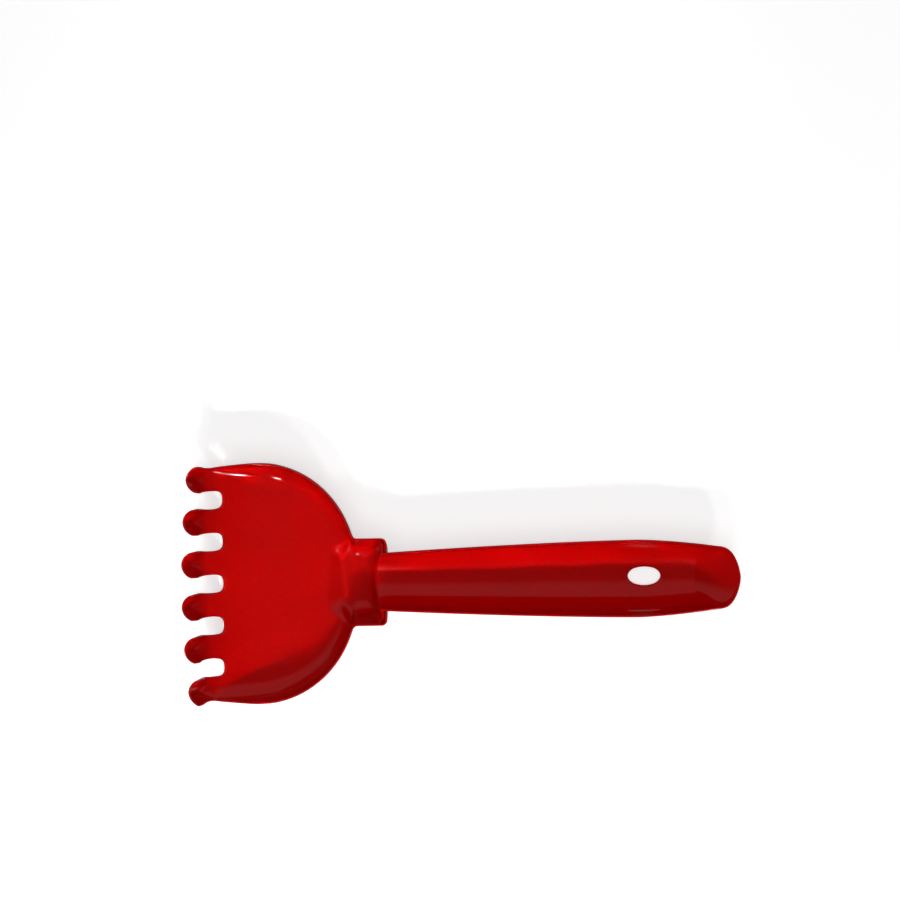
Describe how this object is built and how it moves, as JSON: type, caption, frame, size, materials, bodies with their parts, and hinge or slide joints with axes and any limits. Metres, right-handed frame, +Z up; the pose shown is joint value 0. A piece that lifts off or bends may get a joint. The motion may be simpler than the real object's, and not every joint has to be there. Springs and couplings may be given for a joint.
{
  "type": "sand rake",
  "caption": "Toddler's sand rake, hollow side up: a dished blade with upturned channel tines, a box collar and an open channel handle with an oval hanging hole.",
  "frame": {"origin": "middle of the collar's flat back, on the surface that the rake rests on", "axes": "+X along the handle, away from the tines; +Y across the rake; +Z up, out of the hollow side"},
  "size_m": [0.2188, 0.0954, 0.027],
  "materials": {
    "red_plastic": "gloss"
  },
  "bodies": {
    "root": {"rake_head": "red_plastic", "handle": "red_plastic"}
  },
  "joints": []
}
